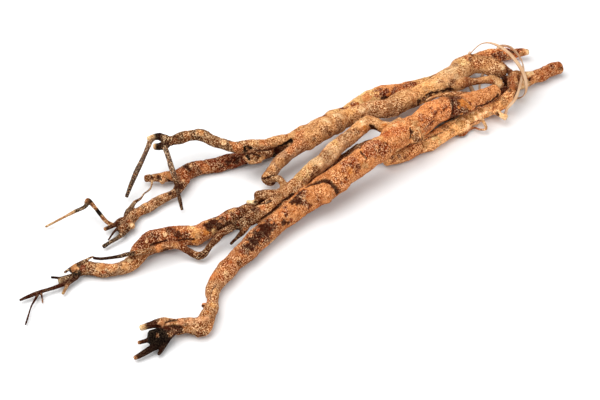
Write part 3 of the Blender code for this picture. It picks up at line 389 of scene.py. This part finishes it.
FRONT_CRACKS = """
2 2.2 umber, -27 -22 25, -24 -22.5 26.5, -21 -24.5 27.5, -18.5 -26 28.5, -15 -27 29, -12 -28.5 28.5,
  -10 -30.5 27.5, -9 -33.5 26, -8 -35 24, -7.5 -36.5 21, -5.5 -36 16.5;
1 1.2 umber, 137.5 -2.5 32.5, 134 -8 31.5, 132 -11 29, 131 -11.5 23.5;
1.2 1 umber, 155.5 -14 22, 164 -14.5 21, 171.5 -14.5 22, 179.5 -13 23;
1.6 1.6 black, 73 -21.5 20.5, 77.5 -19.5 18.5, 81.5 -22.5 20, 84.5 -23 20;
1.2 1 umber, -46.5 -27.5 22.5, -40 -27 24.5, -31.5 -23.5 25.5;
1 0.8 umber, 80.5 -17.5 34, 80 -20 30.5, 78 -21.5 27.5;
1 0.8 brown, 89 -20.5 29, 87.5 -25.5 26.5, 87.5 -23.5 21.5;
1.2 1 umber, -180 -93.5 5, -177 -98 4.5, -172 -100 4.5;
1.2 1 umber, -185 -88 10.5, -190 -85 12, -196.5 -83 13, -199 -78.5 11.5;
0.9 0.7 umber, -185 -83.5 14.5, -189 -82.5 15, -193 -81.5 14.5;
1.4 1.2 umber, 64 15 24, 66.5 13.5 20.5, 67.5 11 20.5;
1.6 1.6 umber, -68.5 -11 21, -68.5 -18 24, -64 -20 25, -60.5 -20 25;
1.2 1 umber, -51 -23 22, -45.5 -22 21.5, -39.5 -21.5 23;
1.2 1.2 umber, -74 -28.5 19, -67 -27 19, -59.5 -25.5 20, -52.5 -24 21;
1.1 0 rust, 91 -19 31.5, 98.5 -16.5 33, 105.5 -14 32.5;
0.9 0 red, 94.5 -19 28, 100.5 -18 30, 108.5 -14.5 28.5;
1.8 0 amber, 143.5 -8.5 31, 145.5 -12 28.5, 148.5 -14 24;
1.4 0.4 umber, 133.5 -11.5 20.5, 141.5 -12.5 18.5, 148.5 -13.5 19, 158 -12 17.5;
1.1 0.5 umber, 175.5 -13.5 19.5, 180 -13 19.5, 184 -12 21.5;
1 0.5 umber, 49.5 11 18, 32.5 -12.5 32.5, 28 -20.5 33.5, 29 -26.5 31.5;
0.8 0.4 red, 51.5 -20.5 34, 54.5 -23.5 30.5, 55.5 -25 26;
0.8 0.3 rust, 65.5 -20.5 34, 68 -23.5 30, 72 -21.5 21;
0.9 0.4 brown, -100.5 -52 5, -107.5 -54 5.5, -115.5 -57.5 6;
0.9 0.4 brown, -140.5 -66 12.5, -147 -70 12, -152.5 -76 10.5"""
PALE_CRACKS = """
1 0.8 brown, 175.5 -19 11.5, 175.5 -21 9.5, 176 -20 7.5;
1 0.8 umber, 213.5 -1 23.5, 209 -7.5 21.5, 200.5 -14.5 19.5, 197 -16 17;
0.8 0.4 rust, 148 -16.5 8.5, 158 -15 7.5, 171 -12 3.5;
0.8 0.3 dust, 97 -17 14, 107 -16.5 13.5, 117 -16.5 13.5"""
RED_CRACKS = """
1 0.6 umber, -113 -8.5 15.5, -104.5 -5 14.5, -96 -5 14.5;
1 0.5 umber, 232 2.5 13, 230 1 11.5;
0.9 0.4 umber, -159.5 -1.5 14.5, -152.5 -1 13, -145.5 -1.5 12.5;
0.9 0.5 umber, -137 -5.5 11, -131 -7.5 10.5, -126 -11 10.5"""

# Each root: node, slot, voxel of the bark's mesh, how red its stains are, and its tables
ROOTS = (
    ("grey_root", "grey_bark", 0.6, 0.3, GREY_LIMBS, GREY_PATCHES, GREY_DENTS, GREY_CRACKS),
    ("rust_root", "rust_bark", 0.55, 0.8, RUST_LIMBS, RUST_PATCHES, RUST_DENTS, RUST_CRACKS),
    ("front_root", "orange_bark", 0.72, 0.5, FRONT_LIMBS, FRONT_PATCHES, FRONT_DENTS, FRONT_CRACKS),
    ("pale_root", "pale_bark", 0.55, 0.4, PALE_LIMBS, PALE_PATCHES, PALE_DENTS, PALE_CRACKS),
    ("red_root", "red_bark", 0.6, 0.8, RED_LIMBS, RED_PATCHES, RED_DENTS, RED_CRACKS),
)

# Distance between a limb's rings, less where it is nowhere thicker than a twig
LIMB_STEP = 1.2
TWIG_STEP = 0.8
TWIG_THICKNESS = 6

# Points in a ring, by the radius that the limb's widest ring is over
RING_SIDES = ((6, 36), (3, 24), (0, 12))

# A limb's rounded ends: (reach, radius) as shares of the end's radius
END_ROUND = ((0.2, 0.93), (0.36, 0.75), (0.45, 0.45))

# As in the solids: each ring point is pushed out or in by smooth noise
LUMP_SHARE = 0.11
LUMP_LENGTH = 13.0

# Relief of the bark: (size, place in the noise, height), and wrinkles, long along the limb
RELIEF = ((6.0, 11, 0.45), (2.8, 23, 0.3), (1.5, 37, 0.2))
WRINKLE_SIZE = (7.0, 1.5, 1.5)
WRINKLE_PLACE = 5
WRINKLE_DEPTH = 0.3
FULL_RELIEF_RADIUS = 5
LEAST_RELIEF = 0.2

# Painted shade on the underside: how much of each colour's light the bark's tone loses where it
# faces the floor, and at which slopes
UNDERSIDE_SHADE = (0.3, 0.4, 0.48)
UNDERSIDE_SHADE_FROM = 0.2
UNDERSIDE_SHADE_SPAN = 1.1

# Edges of patches and cracks are torn by noise: (size, place in the noise, weight)
RAGGED = ((2.8, 51, 0.5), (1.2, 67, 0.35))
PATCH_SPREAD = 1.15
PATCH_MARGIN = 0.5
PATCH_COVER = 0.95
PATCH_EDGE = 0.35
CRACK_SPREAD = 1.1
CRACK_RAGGED = 0.4
CRACK_COVER = 0.97
CRACK_EDGE = 0.4
CRACK_WALL = 1.2

# Times that the tones are smoothed, and the bark's least height above the floor
TONE_SMOOTHING = 6
FLOOR_GAP = 0.02

# The strip: its section as shares of half the width and of the thickness, and how uneven it is
STRIP_THICKNESS = 0.9
STRIP_STEP = 0.8
STRIP_SECTION = ((-1, -0.35), (-0.97, 0.2), (-0.7, 0.42), (-0.35, 0.5), (0, 0.46), (0.35, 0.5),
                 (0.7, 0.42), (0.97, 0.2), (1, -0.35), (0.6, -0.5), (0, -0.46), (-0.6, -0.5))
STRIP_WIDTH_NOISE = 0.1
STRIP_HEIGHT_NOISE = 0.12
STRIP_FLOOR_GAP = 0.05

# The strip faces away from here, and lies flat where it is near the floor
STRIP_CENTRE = (206.0, 24.0, 14.0)
STRIP_LYING = 3.0


def rows(text):
    """The rows of a table, as lists of numbers and tone names."""
    return [[word if word.isalpha() else float(word) for word in row.split()]
            for row in text.split(",")]


def placed(name, data):
    """A new object in the scene."""
    thing = bpy.data.objects.new(name, data)
    bpy.context.scene.collection.objects.link(thing)
    return thing


def meshed(name, points, faces):
    """A new mesh object in the scene."""
    mesh = bpy.data.meshes.new(name)
    mesh.from_pydata(points, [], faces)
    return placed(name, mesh)


def quads(low, high, sides):
    """Faces between two rings of points, which start at low and at high."""
    return [(low + index, low + (index + 1) % sides, high + (index + 1) % sides, high + index)
            for index in range(sides)]


def read(items, field, width, kind=np.float32):
    """A field of all points or edges of a mesh, a row for each."""
    values = np.empty(len(items) * width, kind)
    items.foreach_get(field, values)
    return values.reshape(-1, width)


def store(mesh, name, values):
    """Keep a number or a vector at each point, for the materials."""
    values = np.array(values, np.float32)
    kind, field = ("FLOAT_VECTOR", "vector") if values.ndim == 2 else ("FLOAT", "value")
    mesh.attributes.new(name, kind, "POINT").data.foreach_set(field, values.ravel())


def move(mesh, points):
    """Put the mesh's points in these places."""
    mesh.vertices.foreach_set("co", points.astype(np.float32).ravel())
    mesh.update()


def through(stations, step, closed=False):
    """Vectors of four, about step mm apart, on a smooth line through the stations."""
    points = [Vector(station) for station in stations]
    if closed:
        line = [points[-1], *points, *points[:2]]
    else:
        line = [2 * points[0] - points[1], *points, 2 * points[-1] - points[-2]]
    found = []
    for before, start, end, after in zip(line, line[1:], line[2:], line[3:]):
        count = max(1, round((end.xyz - start.xyz).length / step))
        for index in range(count):
            t = index / count
            found.append(0.5 * (2 * start + (end - before) * t
                                + (2 * before - 5 * start + 4 * end - after) * t ** 2
                                + (3 * start - before - 3 * end + after) * t ** 3))
    if not closed:
        found.append(points[-1])
    return found


def limb_rings(stations):
    """Rings of a limb, ends included, as (centre, radius, way, side, distance along)."""
    thickest = max(station[3] for station in stations)
    line = through(stations, LIMB_STEP if thickest > TWIG_THICKNESS else TWIG_STEP)
    ways = [(after.xyz - before.xyz).normalized()
            for before, after in zip([line[0], *line], [*line[1:], line[-1]])]
    side = ways[0].cross(Vector((0, 0, 1))).normalized()
    rings, along, last = [], 0.0, line[0].xyz
    for point, way in zip(line, ways):
        side = (side - way * side.dot(way)).normalized()
        along += (point.xyz - last).length
        last = point.xyz
        rings.append((point.xyz, point.w / 2, way, side, along))
    first, last = rings[0], rings[-1]
    for reach, share in END_ROUND:
        rings.insert(0, (first[0] - first[2] * first[1] * reach, first[1] * share, first[2],
                         first[3], -first[1] * reach))
        rings.append((last[0] + last[2] * last[1] * reach, last[1] * share, last[2], last[3],
                      last[4] + last[1] * reach))
    return rings


def tone_of(name, brightness=1.0):
    """A tone's four numbers, brighter or darker."""
    *colour, speckle = LINEAR[name]
    return [*(value * brightness ** GAMMA for value in colour), speckle]


def tone_at(stops, share):
    """The tone's four numbers at a share of the limb's length."""
    low = stops[0]
    for high in stops:
        if high[0] >= share:
            break
        low = high
    span = high[0] - low[0]
    mix = 0 if span <= 0 else min(1, (share - low[0]) / span)
    return [a + (b - a) * mix for a, b in zip(tone_of(*low[1:]), tone_of(*high[1:]))]


def grown(name, limbs, voxel):
    """One root of fused limbs, in mm, with a tree of the ring points and the ring of each.

    Those rings are (centre, way, across, upright, distance along, radius, tone).
    """
    points, faces, origins = [], [], []
    for limb in limbs.split(";"):
        stations, stops = (rows(part) for part in limb.split("/")[1:])
        rings = limb_rings(stations)
        widest = max(ring[1] for ring in rings)
        sides = next(count for radius, count in RING_SIDES if widest > radius)
        length = rings[-1][4]
        start = len(points)
        for centre, radius, way, across, along in rings:
            upright = way.cross(across)
            origin = (centre, way, across, upright, along, radius, tone_at(stops, along / length))
            for index in range(sides):
                angle = 2 * pi * index / sides
                turn = upright * cos(angle) - across * sin(angle)
                lump = noise.noise((centre + turn * radius) / LUMP_LENGTH)
                spot = centre + turn * radius * (1 + 2 * LUMP_SHARE * lump)
                spot.z = max(spot.z, 0)
                points.append(spot)
                origins.append(origin)
        last = len(points) - sides
        for low in range(start, last, sides):
            faces += quads(low, low + sides, sides)
        faces.append(tuple(range(start + sides - 1, start - 1, -1)))
        faces.append(tuple(range(last, last + sides)))
    root = meshed(name, points, faces)
    fuse = root.modifiers.new("fuse", "REMESH")
    fuse.mode = "VOXEL"
    fuse.voxel_size = voxel
    fuse.use_smooth_shade = True
    bpy.context.view_layer.objects.active = root
    bpy.ops.object.modifier_apply(modifier="fuse")
    tree = kdtree.KDTree(len(points))
    for index, point in enumerate(points):
        tree.insert(point, index)
    tree.balance()
    return root, tree, origins


def smoothed(values, ends, times):
    """Values of the points, each moved halfway to the mean of its neighbours."""
    count = np.zeros(len(values))
    np.add.at(count, ends[:, 0], 1)
    np.add.at(count, ends[:, 1], 1)
    for _ in range(times):
        total = np.zeros_like(values)
        np.add.at(total, ends[:, 0], values[ends[:, 1]])
        np.add.at(total, ends[:, 1], values[ends[:, 0]])
        values = values + 0.5 * (total / count[:, None] - values)
    return values


def noises(points, size, offset):
    """Smooth noise from -1 to 1 at each point, with lumps of this size."""
    shift = Vector((offset, offset * 0.7, -offset * 0.4))
    return np.array([noise.noise(Vector(point) / size + shift) for point in points])


def layered(points, layers):
    """A sum of noises at each point."""
    return sum(weight * noises(points, size, offset) for size, offset, weight in layers)


def step_up(value):
    """A smooth step from 0 to 1."""
    value = np.clip(value, 0, 1)
    return value * value * (3 - 2 * value)


def near_line(points, line):
    """Each point's distance from a line of straight pieces."""
    found = np.full(len(points), np.inf)
    for low, high in zip(np.array(line), np.array(line[1:])):
        along = high - low
        share = np.clip((points - low) @ along / (along @ along), 0, 1)[:, None]
        found = np.minimum(found, np.linalg.norm(points - low - share * along, axis=1))
    return found


def painted(tone, name, share):
    """The points' tones, each moved by its share towards a named one."""
    return tone + (np.array(LINEAR[name]) - tone) * share[:, None]


def barked(node, voxel, limbs, patches, dents, cracks):
    """One root with its bark's relief, tones, patches, cracks and dents, with painted shade on its
    underside.
    """
    root, tree, origins = grown(node + "_bark", limbs, voxel)
    mesh = root.data
    ends = read(mesh.edges, "vertices", 2, np.int32)
    points = smoothed(read(mesh.vertices, "co", 3).astype(float), ends, 1)
    move(mesh, points)
    normals = read(mesh.vertex_normals, "vector", 3).astype(float)

    grain = np.empty((len(points), 3))
    tone = np.empty((len(points), 4))
    radii = np.empty(len(points))
    for index, point in enumerate(points):
        spot = Vector(point)
        centre, way, across, upright, along, radius, colour = origins[tree.find(spot)[1]]
        off = spot - centre
        grain[index] = (along + off.dot(way), off.dot(across), off.dot(upright))
        tone[index] = colour
        radii[index] = radius
    tone = smoothed(tone, ends, TONE_SMOOTHING)

    wrinkles = np.abs(noises(grain / WRINKLE_SIZE, 1.0, WRINKLE_PLACE))
    rise = layered(points, RELIEF) - WRINKLE_DEPTH * wrinkles
    thick = np.clip(radii / FULL_RELIEF_RADIUS, LEAST_RELIEF, 1)
    points = points + normals * (rise * thick)[:, None]

    # Painted shade: the tone darkens where the bark faces the floor
    underside_shade = step_up((UNDERSIDE_SHADE_FROM - normals[:, 2]) / UNDERSIDE_SHADE_SPAN)[:, None]
    tone[:, :3] *= 1 - underside_shade * UNDERSIDE_SHADE
    ragged = layered(points, RAGGED)
    # Patches: the bark's own marks, with painted shade where roots lie close and a few painted
    # highlights
    for *spot, reach, colour in rows(patches):
        reach = reach * PATCH_SPREAD + PATCH_MARGIN
        away = np.linalg.norm(points - spot, axis=1) / reach
        tone = painted(tone, colour, PATCH_COVER * step_up((1 - away + ragged) / PATCH_EDGE))
    # Cracks are sunk into the bark, and their dark tones are painted shade in the grooves
    for crack in cracks.split(";"):
        (width, depth, colour), *line = rows(crack)
        away = near_line(points, line) / width
        near = step_up((CRACK_SPREAD - away + CRACK_RAGGED * ragged) / CRACK_EDGE)
        tone = painted(tone, colour, CRACK_COVER * near)
        points = points - normals * (depth * step_up(CRACK_WALL - away))[:, None]
    for *spot, reach, depth in rows(dents):
        away = np.linalg.norm(points - spot, axis=1) / reach
        points = points - normals * (depth * step_up(1 - away))[:, None]
    points[:, 2] = np.maximum(points[:, 2], FLOOR_GAP)

    move(mesh, points * MM)
    store(mesh, "tone", tone[:, :3])
    store(mesh, "speckle", tone[:, 3])
    # Painted shade: how low each point lies in the bark's relief, for darkening its hollows
    store(mesh, "hollow_shade", np.clip(0.5 - rise, 0, 1))
    store(mesh, "grain", grain * MM)
    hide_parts(node)
    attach(root, "root")
    return root


class Sheet:
    """Builds a material's node tree from short calls."""

    def __init__(self, name):
        self.material = bpy.data.materials.new(name)
        self.material.use_nodes = True
        self.tree = self.material.node_tree
        self.surface = self.tree.nodes["Principled BSDF"].inputs

    def put(self, value, socket):
        """Link or set an input."""
        if isinstance(value, bpy.types.NodeSocket):
            self.tree.links.new(value, socket)
        elif socket.type == "RGBA":
            socket.default_value = (*value, 1)
        else:
            socket.default_value = value

    def add(self, kind, inputs, **settings):
        """A new node's outputs."""
        node = self.tree.nodes.new("ShaderNode" + kind)
        for name, value in settings.items():
            setattr(node, name, value)
        for socket, value in inputs.items():
            self.put(value, node.inputs[socket])
        return node.outputs

    def finish(self, surface):
        """Set the surface's inputs."""
        for name, value in surface.items():
            self.put(value, self.surface[name])
        return self.material

    def attribute(self, name, out="Vector"):
        return self.add("Attribute", {}, attribute_name=name)[out]

    def place(self):
        return self.add("TexCoord", {})["Object"]

    def math(self, operation, *values):
        return self.add("Math", dict(enumerate(values)), operation=operation)[0]

    def product(self, *values):
        return self.math("MULTIPLY", *values)

    def stretched(self, vector, scale):
        return self.add("Mapping", {"Vector": vector, "Scale": scale})[0]

    def shifted(self, vector, shift):
        return self.add("Mapping", {"Vector": vector, "Location": shift})[0]

    def noise(self, vector, size, detail=2.0, roughness=0.5):
        """Noise with features of about size mm, 0 to 1."""
        return self.add("TexNoise", {"Vector": vector, "Scale": 1 / (size * MM),
                                     "Detail": detail, "Roughness": roughness})["Fac"]

    def cells(self, vector, size):
        """Distance from the middles of cells of about size mm."""
        return self.add("TexVoronoi", {"Vector": vector, "Scale": 1 / (size * MM)})["Distance"]

    def ranged(self, value, low, high, to_low=0.0, to_high=1.0):
        return self.add("MapRange", {"Value": value, "From Min": low, "From Max": high,
                                     "To Min": to_low, "To Max": to_high})[0]

    def mixed(self, share, first, second, kind="MIX"):
        return self.add("Mix", {0: share, 6: first, 7: second}, data_type="RGBA",
                        blend_type=kind)[2]

    def dyed(self, tone, factor):
        """A tone times another."""
        return self.mixed(1.0, tone, factor, "MULTIPLY")

    def bump(self, height, strength, distance):
        return self.add("Bump", {"Strength": strength, "Distance": distance * MM,
                                 "Height": height})[0]


# Sizes in mm of what varies over the bark
CROWD_SIZE = 7
MOTTLE_SIZE = 4.5
STAIN_SIZE = 9
FIBRE_SIZE = 0.8
SPECK_SIZE = 0.95
CELL_SIZE = 1.7

# What the bark's tone is multiplied by, in linear red, green and blue
MOTTLE_DARK, MOTTLE_PALE = (0.75, 0.58, 0.4), (1.18, 1.26, 1.32)
FIBRE_DARK, FIBRE_PALE = (0.84, 0.7, 0.54), (1.12, 1.2, 1.28)
STAIN_TINT = (0.8, 0.46, 0.3)
FLECK_TINT = (2.1, 2.3, 2.3)
PIT_TINT = (0.34, 0.14, 0.045)
# Painted shade in the hollows of the bark's relief
HOLLOW_SHADE_TINT = (0.42, 0.28, 0.18)

# Pale wood that shows in the flecks, and its share in them
FLECK_WOOD = (0.95, 0.68, 0.4)
FLECK_TINT_SHARE = 0.45


def bark(name, redness):
    """Dry granular bark: the root's own tones, broken up by mottling, stains, fibres and specks,
    with painted shade in the hollows of its relief.
    """
    sheet = Sheet(name)
    place = sheet.place()
    crowd = sheet.noise(sheet.shifted(place, (1, 6, 8)), CROWD_SIZE, 2, 0.6)
    speckle = sheet.product(sheet.attribute("speckle", "Fac"),
                            sheet.ranged(crowd, 0.38, 0.62, 0.3, 1.5))
    tone = sheet.attribute("tone")

    mottle = sheet.noise(place, MOTTLE_SIZE, 4, 0.65)
    tone = sheet.dyed(tone, sheet.mixed(sheet.ranged(mottle, 0.32, 0.68),
                                        MOTTLE_DARK, MOTTLE_PALE))
    stain = sheet.noise(sheet.shifted(place, (3, 1, 2)), STAIN_SIZE, 3, 0.6)
    tone = sheet.mixed(sheet.product(sheet.ranged(stain, 0.52, 0.68), redness),
                       tone, sheet.dyed(tone, STAIN_TINT))
    along = sheet.stretched(sheet.attribute("grain"), (0.18, 1, 1))
    fibre = sheet.noise(along, FIBRE_SIZE, 2)
    tone = sheet.dyed(tone, sheet.mixed(sheet.ranged(fibre, 0.32, 0.68), FIBRE_DARK, FIBRE_PALE))

    flecks = sheet.noise(sheet.shifted(place, (7, 5, 1)), SPECK_SIZE, 1, 0.5)
    grains = sheet.cells(sheet.shifted(place, (5, 3, 2)), CELL_SIZE)
    pale = sheet.math("MAXIMUM", sheet.product(sheet.ranged(flecks, 0.53, 0.575), 0.9),
                      sheet.ranged(grains, 0.37, 0.29))
    tone = sheet.mixed(sheet.product(pale, speckle), tone,
                       sheet.mixed(FLECK_TINT_SHARE, FLECK_WOOD, sheet.dyed(tone, FLECK_TINT)))
    pits = sheet.noise(sheet.shifted(place, (2, 9, 4)), SPECK_SIZE, 1, 0.5)
    pores = sheet.cells(place, CELL_SIZE)
    dark = sheet.math("MAXIMUM", sheet.ranged(pits, 0.465, 0.415),
                      sheet.ranged(pores, 0.37, 0.29))
    depth = sheet.math("ADD", sheet.product(speckle, 1.25), 0.1)
    tone = sheet.mixed(sheet.product(dark, depth), tone, sheet.dyed(tone, PIT_TINT))
    # Painted shade: the low spots of the relief are darkened
    hollow_shade = sheet.ranged(sheet.attribute("hollow_shade", "Fac"), 0.55, 0.95)
    tone = sheet.mixed(sheet.product(hollow_shade, 0.6), tone, sheet.dyed(tone, HOLLOW_SHADE_TINT))

    grit = sheet.math("ADD", sheet.product(flecks, 0.8), pits)
    height = sheet.math("ADD", grit, sheet.product(fibre, 0.7))
    return sheet.finish({"Base Color": tone, "Normal": sheet.bump(height, 0.8, 0.5),
                         "Roughness": sheet.ranged(mottle, 0.3, 0.7, 0.9, 0.68),
                         "Specular IOR Level": 0.04})


def split_wood(name):
    """The tie's pale fibrous wood, darker at its edges."""
    sheet = Sheet(name)
    fibre = sheet.noise(sheet.stretched(sheet.attribute("grain"), (0.05, 1, 1)), 0.5, 3, 0.6)
    stain = sheet.noise(sheet.place(), STAIN_SIZE, 3)
    tone = sheet.mixed(sheet.ranged(stain, 0.4, 0.65), (0.76, 0.45, 0.24), (0.86, 0.6, 0.38))
    tone = sheet.dyed(tone, sheet.mixed(sheet.ranged(fibre, 0.3, 0.7), (0.74, 0.66, 0.58),
                                        (1.1, 1.1, 1.1)))
    edge = sheet.ranged(sheet.attribute("edge", "Fac"), 0.75, 1.0)
    tone = sheet.mixed(sheet.product(edge, 0.7), tone, (0.3, 0.15, 0.07))
    return sheet.finish({"Base Color": tone, "Normal": sheet.bump(fibre, 0.7, 0.25),
                         "Roughness": sheet.ranged(fibre, 0.3, 0.7, 0.7, 0.5)})


def tied(name):
    """The split strip: a crowned section along the route, with worn edges."""
    line = through(TIE_BAND, STRIP_STEP, closed=True)
    count = len(line)
    corners = len(STRIP_SECTION)
    points, faces, grain, edge = [], [], [], []
    along = 0.0
    for index, point in enumerate(line):
        ahead = line[(index + 1) % count].xyz - line[index - 1].xyz
        along += ahead.length / 2
        way = ahead.normalized()
        lying = min(1, max(0, 1.4 - point.z / STRIP_LYING))
        out = (point.xyz - Vector(STRIP_CENTRE)).normalized().lerp(Vector((0, 0, -1)), lying)
        out = (out - way * out.dot(way)).normalized()
        across = way.cross(out).normalized()
        for wide, high in STRIP_SECTION:
            ragged = 1 + STRIP_WIDTH_NOISE * noise.noise(Vector((along / 5, wide * 3, 0)))
            high += STRIP_HEIGHT_NOISE * noise.noise(Vector((along / 9, wide * 2.5, 4)))
            spot = (point.xyz + across * wide * point.w / 2 * ragged
                    + out * high * STRIP_THICKNESS)
            spot.z = max(spot.z, STRIP_FLOOR_GAP)
            points.append(spot * MM)
            grain.append((along * MM, wide * point.w / 2 * MM, high * MM))
            edge.append(abs(wide))
        faces += quads(index * corners, (index + 1) % count * corners, corners)
    strip = meshed(name, points, faces)
    strip.data.polygons.foreach_set("use_smooth", [True] * len(faces))
    store(strip.data, "grain", grain)
    store(strip.data, "edge", edge)
    strip.data.materials.append(split_wood("split_strip"))
    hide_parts("tie_band")
    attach(strip, "root")


def soft_light(name, place, size, energy):
    """A square lamp that faces the middle of the bundle."""
    lamp = bpy.data.lights.new(name, "AREA")
    lamp.size = size
    lamp.energy = energy
    light = placed(name, lamp)
    light.location = place
    light.rotation_mode = "QUATERNION"
    light.rotation_quaternion = (-Vector(place)).to_track_quat("-Z", "Y")


for startup in list(bpy.data.objects):
    bpy.data.objects.remove(startup)
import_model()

for node, slot, voxel, redness, limbs, patches, dents, cracks in ROOTS:
    root = barked(node, voxel, limbs, patches, dents, cracks)
    root.data.materials.clear()
    root.data.materials.append(bark(slot, redness))
tied("tie_strip")

# Floor, a hair under the roots
FLOOR_HALF = 6
FLOOR_HEIGHT = -0.0002
floor = meshed("floor", [(x * FLOOR_HALF, y * FLOOR_HALF, FLOOR_HEIGHT)
                         for x, y in ((-1, -1), (1, -1), (1, 1), (-1, 1))], [(0, 1, 2, 3)])
ground = Sheet("floor")
paleness = ground.mixed(ground.noise(ground.place(), 40, 3), (0.86,) * 3, (0.88,) * 3)
floor.data.materials.append(ground.finish({"Base Color": paleness, "Roughness": 0.9,
                                           "Specular IOR Level": 0.1}))

# Light
soft_light("key", (-0.6, 0.35, 1.5), 2.0, 39)
soft_light("fill", (0.3, -1.3, 1.0), 1.3, 9)
world = bpy.data.worlds.new("room")
world.use_nodes = True
world.node_tree.nodes["Background"].inputs["Color"].default_value = (1, 1, 1, 1)
world.node_tree.nodes["Background"].inputs["Strength"].default_value = 0.42
bpy.context.scene.world = world
bpy.context.scene.view_settings.view_transform = "Standard"

# Camera
AZIMUTH = radians(-34.6)
ELEVATION = radians(40)
AIM = Vector((-0.034, -0.023, 0.015))
DISTANCE = 1.2
back = Vector((sin(AZIMUTH) * cos(ELEVATION), -cos(AZIMUTH) * cos(ELEVATION), sin(ELEVATION)))
right = Vector((cos(AZIMUTH), sin(AZIMUTH), 0))
up = back.cross(right)
camera = placed("camera", bpy.data.cameras.new("camera"))
camera.data.lens = 90
camera.data.sensor_width = 36
turn = Matrix((right, up, back)).transposed()
camera.matrix_world = Matrix.Translation(AIM + back * DISTANCE) @ turn.to_4x4()
bpy.context.scene.camera = camera
